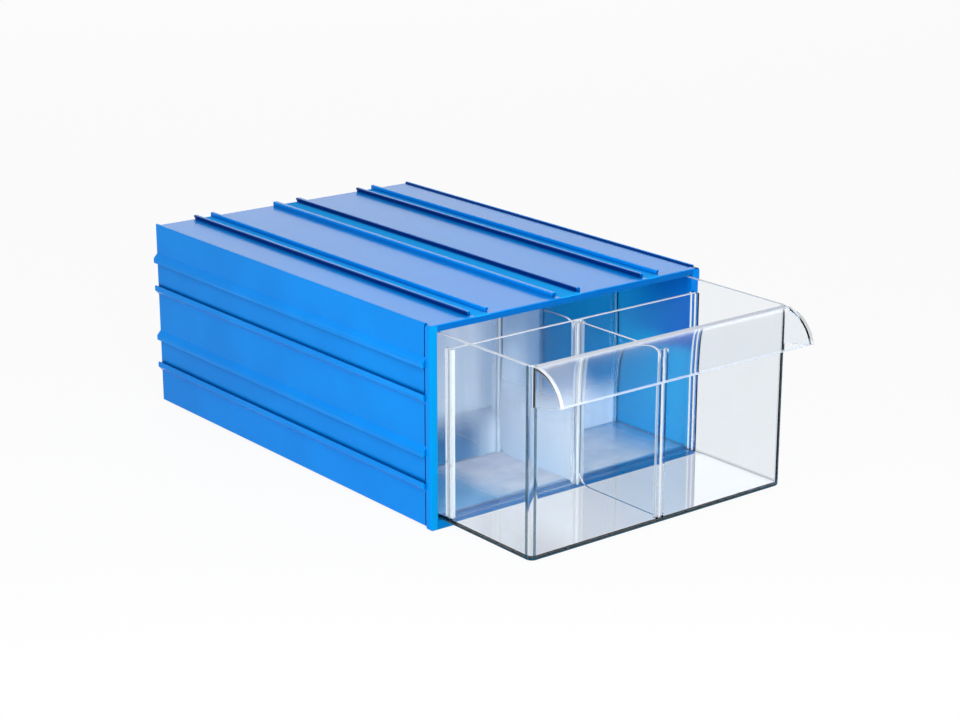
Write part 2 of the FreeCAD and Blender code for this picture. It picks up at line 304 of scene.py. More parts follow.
@dataclass(frozen=True)
class CasingPlastic:
    """Glossy blue plastic with faint orange peel, rubbed rails and painted shade and light in
    slots, inside and at the mouth.
    """

    colour: Colour = (0.001, 0.25, 0.78)
    deep: Colour = (0.001, 0.225, 0.72)
    rubbed: Colour = (0.02, 0.30, 0.82)
    # painted light: the inside is painted a lighter, more cyan blue than the outside
    painted_inner_light: Colour = (0.001, 0.54, 0.95)
    # painted shade: the inside turns darker towards the underside of the top
    painted_top_shade: Colour = (0.001, 0.13, 0.60)
    shaded: Colour = (0.0, 0.03, 0.20)
    # painted light: the floors between the rails' lips are painted a lighter blue
    painted_groove_light: Colour = (0.012, 0.38, 0.95)
    # painted shade on the front face of the rim's left upright
    painted_stile_shade: Colour = (0.001, 0.25, 0.60)
    # painted shade on the rim's front face above the mouth
    painted_brow_shade: Colour = (0.001, 0.115, 0.42)
    # painted shade at the bottom of the mouth
    painted_sill_shade: Colour = (0.0, 0.15, 0.42)
    # painted shade on the rim's right upright and on the inside behind it
    painted_jamb_shade: Colour = (0.0, 0.195, 0.66)
    tint: Colour = (0.0, 0.30, 1.0)
    specular: float = 0.3
    bend: float = 1.24
    gloss: float = 0.16
    cloud: Pair = (22.0, 3.0)
    cloud_span: Pair = (0.35, 0.70)
    cloud_rough: float = 0.10
    peel: Pair = (700.0, 2.0)
    peel_depth: float = 0.04
    peel_strength: float = 0.25
    streak: Triple = (900.0, 12.0, 900.0)
    streak_detail: float = 3.0
    rub_span: Pair = (0.48, 0.72)
    rub_share: float = 0.5
    rub_rough: float = 0.16
    groove_rough: float = 0.70
    # painted shade in nooks, found by an ambient-occlusion node
    nook_reach: float = 4.0
    nook_span: Pair = (0.25, 0.85)
    nook_samples: int = 8
    rail_heads: Sequence[Zone] = (((Axis.ACROSS, 89.08, 89.728),), ((Axis.UP, 105.38, 106.028),))
    # the floors between the rails' lips, which take painted light and more roughness
    grooves: Sequence[Zone] = (
        (*between(Axis.ACROSS, 51.7, 60.3, fade=0.4), *RAIL_FLOOR),
        ((Axis.ACROSS, 6.45, 5.85), *RAIL_FLOOR),
    )
    # the inside, which takes the painted light and shade
    cavity: Zone = (
        (Axis.ACROSS, 85.5, 85.2), (Axis.UP, 4.0, 4.4), (Axis.UP, 102.1, 101.8),
        (Axis.BACK, -127.2, -126.6), (Axis.BACK, 125.6, 125.3),
    )
    under_top: Zone = ((Axis.UP, 80.886, 97.478),)
    # faces that take painted shade: the rim above the mouth, its two uprights and the bottom of the
    # mouth
    brow_face: Zone = (*AHEAD, (Axis.UP, 100.5, 100.7))
    stile_face: Zone = (*AHEAD, (Axis.LEFT, 83.2, 83.6))
    jamb_face: Zone = (*AHEAD, *RIGHT_JAMB)
    behind_jamb: Zone = (*RIGHT_JAMB, (Axis.UP, 56.0, 67.0), (Axis.BACK, -55.0, -120.0))
    sill_face: Zone = ((Axis.ACROSS, 84.2, 84.0), (Axis.BACK, -123.1, -123.3), (Axis.UP, 5.2, 5.0))
    # painted shade: the rails' undercut faces on the top and the left, and a strip by the right
    # ridge
    undercuts: Sequence[Zone] = (
        ((Axis.TO_BASE, 0.1, 0.3), *OVER_TOP),
        *(
            (*between(Axis.RIGHT, place - HOOK_HALF, place + HOOK_HALF, fade=0.2),
             (Axis.TO_LEFT, 0.1, 0.4), *OVER_TOP)
            for place in LEFT_HOOKS
        ),
        ((Axis.RIGHT, 84.3, 84.5), *between(Axis.UP, 103.4, 104.6, fade=0.2)),
        ((Axis.TO_RIGHT, 0.1, 0.3), (Axis.LEFT, 87.4, 87.6)),
    )

    def material(self) -> Finish:
        """The finish as a material.

        Returns:
            The material.
        """
        material, shader = new_material("glossy_blue")
        at = Spot(shader)
        cloud = shader.noise(at.point, *self.cloud)
        streaks = shader.noise(shader.stretched(at.point, self.streak), 1.0, self.streak_detail)
        rub = at.inside(*self.rail_heads) * streaks.ramp(*self.rub_span)
        grooved, hollow = at.inside(*self.grooves), at.inside(self.cavity)
        base = shader.blend(cloud.ramp(*self.cloud_span), self.deep, self.colour)
        layers = (
            (rub * self.rub_share, self.rubbed),
            # painted light inside, turning to painted shade under the top
            (hollow, shader.blend(at.inside(self.under_top), self.painted_inner_light, self.painted_top_shade)),
            # painted light on the floors between the rails' lips
            (grooved, self.painted_groove_light),
            # painted shade on the rim's front face above the mouth
            (at.inside(self.brow_face), self.painted_brow_shade),
            # painted shade on the front face of the rim's left upright
            (at.inside(self.stile_face), self.painted_stile_shade),
            # painted shade on the front of the rim's right upright and inside behind it
            (at.inside(self.jamb_face).most(at.inside(self.behind_jamb) * hollow), self.painted_jamb_shade),
            # painted shade at the bottom of the mouth
            (at.inside(self.sill_face), self.painted_sill_shade),
            # painted shade on the rails' undercut faces and by the right ridge
            (at.inside(*self.undercuts), self.shaded),
        )
        for share, colour in layers:
            base = shader.blend(share, base, colour)
        # painted shade: the colour turns to the shaded one in nooks that an ambient-occlusion node
        # finds
        settings = {"samples": self.nook_samples, "only_local": True}
        reach = {"Distance": self.nook_reach * MM}
        open_share = shader.node("ShaderNodeAmbientOcclusion", settings, reach, "AO")
        base = shader.blend(open_share.ramp(*self.nook_span), self.shaded, base)
        rough = self.gloss + cloud * self.cloud_rough + rub * self.rub_rough
        peel = shader.noise(at.point, *self.peel)
        surface = shader.node("ShaderNodeBsdfPrincipled", {}, {
            "Base Color": base, "Roughness": rough + grooved * self.groove_rough,
            "Normal": shader.bump(peel, self.peel_depth * MM, self.peel_strength),
            "IOR": self.bend, "Specular IOR Level": self.specular, "Specular Tint": self.tint,
        })
        shader.node("ShaderNodeOutputMaterial", {}, {"Surface": surface})
        return material


class Frost(Enum):
    """Where a clear plate is milky."""

    EDGES = "along the top and bottom edges"
    FOOT = "along the edges and towards the foot"
    RIBS = "along the top edge and on the ribs of the slots"
    ALL = "all over"


@dataclass(frozen=True)
class ClearPlastic:
    """Clear moulded plastic, hardly tinted and milky where frosted."""

    name: str
    where: Frost = Frost.EDGES
    rim: float = 91.9
    rim_fade: float = 0.1
    tint: Colour = (0.985, 0.992, 0.998)
    haze: Colour = (0.96, 0.975, 0.985)
    milk: Colour = (0.95, 0.97, 0.99)
    milk_gloss: float = 0.1
    milk_rough: float = 0.5
    gleam: Colour = (0.04, 0.05, 0.06)
    absorbed: Colour = (0.20, 0.58, 0.74)
    density: float = 22.0
    shade: Colour = (0.98, 0.985, 0.99)
    bend: float = 1.33
    gloss: float = 0.015
    marks: Pair = (60.0, 4.0)
    mark_span: Pair = (0.50, 0.75)
    smudge: float = 0.04
    flow: Pair = (26.0, 1.0)
    wave: float = 0.12
    frost: float = 0.70
    streak: Triple = (70.0, 70.0, 9.0)
    streak_detail: float = 2.0
    streak_least: float = 0.6
    streak_gain: float = 0.8
    edge_frost: float = 0.7
    edges: Zone = ((Axis.TO_SIDE, 0.6, 0.3),)
    foot: Zone = ((Axis.UP, 40.6, 17.4),)
    rib_frost: float = 0.45
    side_ribs: Zone = (
        *between(Axis.LEFT, 78.1, 80.1), (Axis.BACK, -186.2, -185.2), *ABOVE_FLOOR,
    )
    middle_share: float = 0.6
    middle_ribs: Zone = ((Axis.ACROSS, 2.7, 2.6), (Axis.BACK, -194.2, -194.1), *ABOVE_FLOOR)

    def material(self) -> Finish:
        """The finish as a material.

        Returns:
            The material.
        """
        material, shader = new_material(self.name)
        at = Spot(shader)
        smudged = shader.noise(at.point, *self.marks).ramp(*self.mark_span)
        flow = shader.noise(at.point, *self.flow)
        clear = shader.node("ShaderNodeBsdfPrincipled", {}, {
            "Base Color": self.tinted(at, smudged), "Roughness": self.gloss + smudged * self.smudge,
            "Normal": shader.bump(flow, self.wave * MM, 1.0), "IOR": self.bend,
            "Transmission Weight": 1.0, "Specular Tint": self.gleam, **self.coated(at),
        })
        pale = shader.node("ShaderNodeBsdfPrincipled", {}, {
            "Base Color": self.milked(at, smudged), "Roughness": self.milk_rough,
            "Specular IOR Level": self.milk_gloss,
        })
        surface = shader.mixed(self.frosted(at), clear, pale)
        passing = shader.node("ShaderNodeBsdfTransparent", {}, {"Color": self.shade})
        surface = shader.mixed(shader.ray(LIT_THROUGH), surface, passing)
        depth = {"Color": self.absorbed, "Density": self.density}
        body = shader.node("ShaderNodeVolumeAbsorption", {}, depth)
        shader.node("ShaderNodeOutputMaterial", {}, {"Surface": surface, "Volume": body})
        return material

    def tinted(self, at: Spot, smudged: Wire) -> Wire:
        """The colour of what shows through."""
        return at.shader.blend(smudged, self.tint, self.haze)

    def milked(self, at: Spot, smudged: Wire) -> Wire:
        """The colour of the milky places."""
        return at.shader.blend(smudged, self.milk, self.haze)

    def coated(self, at: Spot) -> dict[str, Value]:
        """The sockets of a mirroring coat, if there is one."""
        return {}

    def streaked(self, at: Spot) -> Wire:
        """The frost in upright streaks.

        Args:
            at: the point that is shaded.

        Returns:
            The share of milk where the frost is full.
        """
        stretched = at.shader.stretched(at.point, self.streak)
        streaks = at.shader.noise(stretched, 1.0, self.streak_detail)
        return self.frost * (self.streak_least + self.streak_gain * streaks)

    def on_rim(self, at: Spot) -> Wire:
        """1 on the top edge and 0 elsewhere."""
        return at.inside(((Axis.UP, self.rim, self.rim + self.rim_fade),))

    def ribbed(self, at: Spot) -> Wire:
        """How milky the top edge and the ribs in the middle and on the left are."""
        ribs = at.inside(self.side_ribs).most(at.inside(self.middle_ribs) * self.middle_share)
        return (ribs * self.rib_frost).most(self.on_rim(at) * self.edge_frost)

    def frosted(self, at: Spot) -> Wire:
        """How milky the surface is.

        Args:
            at: the point that is shaded.

        Returns:
            The share of milk.
        """
        if self.where is Frost.ALL:
            return self.streaked(at) * at.outside()
        if self.where is Frost.RIBS:
            return self.ribbed(at) * at.outside()
        milky = at.inside(self.edges) * self.edge_frost
        if self.where is Frost.FOOT:
            milky = milky.most(self.streaked(at) * at.inside(self.foot))
        return milky * at.outside()


@dataclass(frozen=True)
class PatchyPlastic(ClearPlastic):
    """A plate's plastic that is also milky low on the right, high on the left and in one band."""

    name: str = "patchy_plate"
    rim: float = 92.9
    frost: float = 0.75
    gloss: float = 0.04
    left: Zone = ((Axis.RIGHT, 2.0, -24.0),)
    left_share: float = 0.75
    band: Zone = ((Axis.RIGHT, -14.0, 5.0), (Axis.RIGHT, 27.0, 8.0), (Axis.UP, 88.0, 45.0))
    band_share: float = 0.8

    def frosted(self, at: Spot) -> Wire:
        """How milky the surface is.

        Args:
            at: the point that is shaded.

        Returns:
            The share of milk.
        """
        # milky in patches: low on the right, high on the left and in one band
        left, low = at.inside(self.left), at.inside(self.foot)
        cover = low * (1 - left) + left * (1 - low) * self.left_share
        patches = self.streaked(at) * cover.most(at.inside(self.band) * self.band_share)
        return self.ribbed(at).most(patches) * at.outside()


@dataclass(frozen=True)
class DrawerPlastic(ClearPlastic):
    """The drawer's plastic: pale edges, painted shade at the front corners, the bottom edge and the
    right of the floor, painted highlights on the pull, and a floor that mirrors and is hazy.
    """

    name: str = "clear_drawer"
    rim: float = 99.7
    tint: Colour = (0.960, 0.958, 0.970)
    frost: float = 0.90
    edging: Colour = (0.62, 0.68, 0.78)
    # painted shade for the bottom edge and the front corners
    painted_edge_shade: Colour = (0.006, 0.05, 0.085)
    # painted shade: what shows through the right of the floor is dimmed
    painted_floor_shade: Colour = (0.66, 0.67, 0.70)
    shaded_floor_right: Zone = (*DRAWER_FLOOR, (Axis.RIGHT, -40.0, 40.0))
    coat_bend: float = 2.2
    mirror: Zone = (*DRAWER_FLOOR, (Axis.BACK, -128.0, -126.0), *SECOND_ROW_BACK)
    open_mirror: Zone = (*DRAWER_FLOOR, (Axis.BACK, -140.0, -142.0))
    open_share: float = 0.6
    hazy_floor: Zone = (
        *DRAWER_FLOOR, (Axis.BACK, -126.0, -122.0), *SECOND_ROW_BACK,
        (Axis.RIGHT, -52.0, -28.0), (Axis.RIGHT, 88.0, 40.0),
    )
    # where the painted shade of the bottom edge and the front corners goes
    bottom_edge: Sequence[Zone] = (
        ((Axis.ACROSS, 80.9, 81.0), *UNDER), ((Axis.BACK, -195.0, -195.1), *UNDER),
    )
    corners: Sequence[Zone] = (
        (*between(Axis.ACROSS, 79.1, 80.5), *between(Axis.BACK, -196.6, -195.6)),
        (*between(Axis.ACROSS, 82.05, 82.6), *between(Axis.BACK, -194.2, -192.3)),
    )
    corner_share: float = 0.75
    pull_tip: Zone = ((Axis.BACK, -213.0, -213.1), (Axis.UP, 85.0, 84.9))
    pull_plates: Zone = (*PULL_ENDS, (Axis.TO_SIDE, 0.5, 0.8))
    plate_frost: float = 0.06
    # painted highlight: milk on the pull's curved ends and along its lower edge
    pull_arcs: Zone = (*PULL_ENDS, (Axis.TO_SIDE, 0.8, 0.5))
    painted_arc_highlight: float = 0.5
    # painted reflection: milk on the left of the pull's sheet
    pull_sheet: Zone = (*PULL, (Axis.ACROSS, 79.4, 79.2), (Axis.RIGHT, -54.0, -70.0))
    painted_sheet_reflection: float = 0.18

    def cornered(self, at: Spot) -> Wire:
        """Where the bottom edge and the thick upright corners at the front get painted shade."""
        return at.inside(*self.bottom_edge).most(at.inside(*self.corners) * self.corner_share)

    def tinted(self, at: Spot, smudged: Wire) -> Wire:
        """The colour of what shows through, with painted shade on the right of the floor."""
        tint = super().tinted(at, smudged)
        return at.shader.blend(at.inside(self.shaded_floor_right), tint, self.painted_floor_shade)

    def milked(self, at: Spot, smudged: Wire) -> Wire:
        """The colour of the milky places, with the pale edges and the painted shade of the corners.

        Args:
            at: the point that is shaded.
            smudged: how smudged the plastic is.

        Returns:
            The colour.
        """
        edges = at.inside(self.pull_tip).most(self.on_rim(at))
        milk = at.shader.blend(edges, super().milked(at, smudged), self.edging)
        # painted shade: the corners and the bottom edge turn a near-black blue
        return at.shader.blend(self.cornered(at).ramp(0.0, self.corner_share), milk, self.painted_edge_shade)

    def coated(self, at: Spot) -> dict[str, Value]:
        """The sockets of the coat that mirrors in the second row, and less in the open."""
        share = at.inside(self.mirror).most(at.inside(self.open_mirror) * self.open_share)
        return {"Coat Weight": share, "Coat IOR": self.coat_bend, "Coat Roughness": self.gloss}

    def frosted(self, at: Spot) -> Wire:
        """How milky the surface is, with painted highlights on the pull and painted shade at the
        corners.

        Args:
            at: the point that is shaded.

        Returns:
            The share of milk, and of the painted shade at the corners.
        """
        milky = self.ribbed(at).most(self.streaked(at) * at.inside(self.hazy_floor))
        milky = milky.most(at.inside(self.pull_plates) * self.plate_frost)
        # painted reflection on the left of the pull's sheet
        milky = milky.most(at.inside(self.pull_sheet) * self.painted_sheet_reflection) * at.outside()
        # painted highlight on the pull's curved ends and lower edge
        milky = milky.most(at.inside(self.pull_arcs, self.pull_tip) * self.painted_arc_highlight)
        return milky.most(self.cornered(at))


@dataclass(frozen=True)
class PaleFloor:
    """A plain pale sweep that shows white wherever it is seen and keeps a soft shadow."""

    colour: Colour = (0.80, 0.80, 0.80)
    grain: Colour = (0.77, 0.77, 0.775)
    grains: Pair = (400.0, 3.0)
    rough: float = 0.9
    glow: Colour = (1.0, 1.0, 1.0)
    shown: float = 0.92

    def material(self) -> Finish:
        """The finish as a material.

        Returns:
            The material.
        """
        material, shader = new_material("pale_floor")
        base = shader.blend(shader.noise(shader.local(), *self.grains), self.colour, self.grain)
        sockets = {"Base Color": base, "Roughness": self.rough}
        paper = shader.node("ShaderNodeBsdfPrincipled", {}, sockets)
        white = shader.node("ShaderNodeEmission", {}, {"Color": self.glow, "Strength": 1.0})
        surface = shader.mixed(shader.ray(SEEN) * self.shown, paper, white)
        shader.node("ShaderNodeOutputMaterial", {}, {"Surface": surface})
        return material


# Shapes


class Outline:
    """A closed flat outline in millimetres, walked anticlockwise."""

    def __init__(self, points: Iterable[Sequence[float]]) -> None:
        """Keeps the points in order."""
        self.points = [Vector(point) for point in points]

    def rounded(self, radii: Union[float, Sequence[float]], steps: int = 3) -> "Outline":
        """The outline with its corners rounded.

        Args:
            radii: one radius for all corners, or one for each.
            steps: how many short edges make up a corner.

        Returns:
            The rounded outline.
        """
        most_of_half = 0.48
        count = len(self.points)
        if isinstance(radii, (int, float)):
            radii = [float(radii)] * count
        made = []
        for index, corner in enumerate(self.points):
            back = self.points[index - 1] - corner
            ahead = self.points[(index + 1) % count] - corner
            room = most_of_half * min(back.length, ahead.length)
            back.normalize()
            ahead.normalize()
            half = math.acos(max(-1.0, min(1.0, back.dot(ahead)))) / 2
            cut = min(radii[index] / math.tan(half), room)
            radius = cut * math.tan(half)
            middle = corner + (back + ahead).normalized() * (radius / math.sin(half))
            start, end = corner + back * cut - middle, corner + ahead * cut - middle
            turn = math.atan2(start.x * end.y - start.y * end.x, start.dot(end))
            for step in range(steps + 1):
                made.append(middle + Matrix.Rotation(turn * step / steps, 2) @ start)
        return Outline(made)

    def grown(self, distance: float) -> "Outline":
        """The outline moved outwards.

        Args:
            distance: how far, or inwards if negative.

        Returns:
            The moved outline, with as many points.
        """
        made = []
        count = len(self.points)
        for index, point in enumerate(self.points):
            edges = (point - self.points[index - 1], self.points[(index + 1) % count] - point)
            first, second = (Vector((edge.y, -edge.x)).normalized() for edge in edges)
            made.append(point + (first + second) * (distance / (1.0 + first.dot(second))))
        return Outline(made)


def rectangle(low: Pair, high: Pair) -> Outline:
    """A rectangle between its lowest and its highest corner."""
    return Outline([low, (high[0], low[1]), high, (low[0], high[1])])


def quarter(radius: float, steps: int = 3) -> list[Pair]:
    """The insets and depths that round an edge off.

    Args:
        radius: the edge's radius.
        steps: how many facets it has.

    Returns:
        Pairs from the end face, all inset, to the side face, all depth.
    """
    turns = [math.pi / 2 * step / steps for step in range(steps + 1)]
    return [(radius * (1 - math.sin(turn)), radius * (1 - math.cos(turn))) for turn in turns]


class Run(Enum):
    """The axis that an outline is drawn out along."""

    ACROSS = "x"
    ALONG = "y"
    UP = "z"

    def place(self, point: Vector, level: float) -> Vector:
        """A point of an outline in the model's frame.

        Args:
            point: the point on the outline, in millimetres.
            level: its distance along the run, in millimetres.

        Returns:
            The place, in metres.
        """
        spots = {
            Run.ACROSS: (level, point.x, point.y),
            Run.ALONG: (point.x, level, point.y),
            Run.UP: (point.x, point.y, level),
        }
        return Vector(spots[self]) * MM


Ring = list[bmesh.types.BMVert]


class Shell:
    """A closed mesh made of rings, the walls between them and their lids."""

    def __init__(self, run: Run) -> None:
        """Starts an empty mesh whose outlines are drawn out along one axis."""
        self.run = run
        self.mesh = bmesh.new()

    def ring(self, outline: Outline, level: float) -> Ring:
        """Adds an outline's points at a level."""
        return [self.mesh.verts.new(self.run.place(point, level)) for point in outline.points]

    def wall(self, first: Ring, second: Ring) -> None:
        """Joins two rings with a strip of faces."""
        for at in range(len(first)):
            self.mesh.faces.new((first[at - 1], first[at], second[at], second[at - 1]))

    def walls(self, rings: Sequence[Ring], closed: bool = False) -> None:
        """Joins rings one after the other.

        Args:
            rings: the rings in order.
            closed: whether the last joins the first.
        """
        for first, second in zip(rings, rings[1:]):
            self.wall(first, second)
        if closed:
            self.wall(rings[-1], rings[0])

    def lid(self, ring: Ring) -> None:
        """Closes a ring with one flat face."""
        self.mesh.faces.new(ring)

    def solid(self, levels: Iterable[tuple[Outline, float]]) -> None:
        """Adds a closed solid.

        Args:
            levels: its outlines in order, each with its level.
        """
        rings = [self.ring(outline, level) for outline, level in levels]
        self.walls(rings)
        self.lid(rings[0])
        self.lid(rings[-1])

    def band(self, outer: Ring, inner: Ring) -> None:
        """Fills the flat space between two rings.

        Args:
            outer: the ring outside.
            inner: the ring inside.
        """
        edges = []
        for ring in (outer, inner):
            for pair in zip([ring[-1], *ring], ring):
                edges.append(self.mesh.edges.get(pair) or self.mesh.edges.new(pair))
        bmesh.ops.triangle_fill(self.mesh, use_beauty=True, use_dissolve=False, edges=edges)

    def piece(self, name: str) -> Piece:
        """The shell as an object.

        Args:
            name: the object's name.

        Returns:
            The object, linked to the scene.
        """
        bmesh.ops.remove_doubles(self.mesh, verts=self.mesh.verts, dist=1e-7)
        bmesh.ops.recalc_face_normals(self.mesh, faces=self.mesh.faces)
        data = bpy.data.meshes.new(name)
        self.mesh.to_mesh(data)
        self.mesh.free()
        return placed(name, data)


def placed(name: str, data: bpy.types.ID) -> Piece:
    """A new object in the scene.

    Args:
        name: the object's name.
        data: its mesh, lamp or camera.

    Returns:
        The object.
    """
    made = bpy.data.objects.new(name, data)
    bpy.context.scene.collection.objects.link(made)
    return made


def applied(piece: Piece) -> Piece:
    """Makes a piece's modifiers part of its mesh.

    Args:
        piece: the piece.

    Returns:
        The same piece.
    """
    bpy.context.view_layer.update()
    graph = bpy.context.evaluated_depsgraph_get()
    finished = bpy.data.meshes.new_from_object(piece.evaluated_get(graph))
    piece.modifiers.clear()
    piece.data = finished
    return piece


def combined(piece: Piece, other: Piece, operation: str) -> Piece:
    """Joins another solid to a piece, or cuts it out.

    Args:
        piece: the piece that is kept.
        other: the other solid, used up.
        operation: UNION or DIFFERENCE.

    Returns:
        The piece.
    """
    modifier = piece.modifiers.new("solid", "BOOLEAN")
    modifier.operation = operation
    modifier.solver = "EXACT"
    modifier.object = other
    applied(piece)
    bpy.data.objects.remove(other)
    return piece


def softened(piece: Piece, width: float, segments: int = 2, sharpest: float = 40.0) -> Piece:
    """Rounds a piece's sharp edges.

    Args:
        piece: the piece.
        width: how wide the rounding is, in millimetres.
        segments: how many facets it has.
        sharpest: the angle from which an edge is rounded, in degrees.

    Returns:
        The piece.
    """
    modifier = piece.modifiers.new("edges", "BEVEL")
    modifier.width = width * MM
    modifier.segments = segments
    modifier.limit_method = "ANGLE"
    modifier.angle_limit = math.radians(sharpest)
    return applied(piece)


def smoothed(piece: Piece, angle: float = 35.0) -> Piece:
    """Shades a piece smoothly, with flat faces left flat.

    Args:
        piece: the piece.
        angle: the sharpest angle that is still shaded as one surface, in degrees.

    Returns:
        The piece.
    """
    piece.data.shade_smooth()
    piece.data.set_sharp_from_angle(angle=math.radians(angle))
    modifier = piece.modifiers.new("normals", "WEIGHTED_NORMAL")
    modifier.keep_sharp = True
    return applied(piece)


def settled(piece: Piece, node: str, body: str, finish: Finish) -> Piece:
    """Gives a piece its finish and its place in the model.

    Args:
        piece: the piece.
        node: the CAD node that it stands for.
        body: the body that it moves with.
        finish: its material.

    Returns:
        The piece.
    """
    piece.data.materials.clear()
    piece.data.materials.append(finish)
    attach(piece, body)
    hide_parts(node)
    LOG.info("%s: %d faces, on %s", piece.name, len(piece.data.polygons), body)
    return piece


def limits(node: str) -> tuple[Vector, Vector]:
    """The lowest and highest corners of a CAD node's box, in millimetres."""
    low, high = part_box(node)
    return low / MM, high / MM


# Casing


class RailKind(Enum):
    """The ways that a stacking rail can be shaped."""

    TONGUE = "hooks turned out"
    CHANNEL = "hooks turned in"
    BAR = "solid, with a head"


@dataclass(frozen=True)
class RailSection:
    """The shape of the stacking rails, in millimetres."""

    width: float = 14.0
    tongue_stem: float = 1.4
    channel_stem: float = 2.0
    hook_reach: float = 1.2
    clearance: float = 0.3
    foot_edge: float = 0.2
    lip_edge: float = 0.55

    def steps(self, kind: RailKind, rise: float, slope: float = 0.0) -> list[Triple]:
        """A rail's outline over a panel, with its hooks as slanted lips.

        Args:
            kind: the rail's shape.
            rise: its height.
            slope: how far the outer face of a channel's lips leans.

        Returns:
            Places across the rail and off the panel, from side to side, each with its radius.
        """
        hook = self.width / 2
        if kind is RailKind.CHANNEL:
            inside = hook + self.clearance
            outside = inside + self.channel_stem
            half = [(inside, 0.0), (inside - self.hook_reach, rise)]
            half += [(outside, rise), (outside + slope, 0.0)]
        else:
            stem = hook - self.hook_reach
            half = [(hook, rise), (stem, 0.0)]
            if kind is RailKind.TONGUE:
                inner = stem - self.tongue_stem
                half = [(inner, 0.0), (inner, rise)] + half
        whole = [(-across, off) for across, off in reversed(half)] + half
        return [(across, off, self.lip_edge if off else self.foot_edge) for across, off in whole]


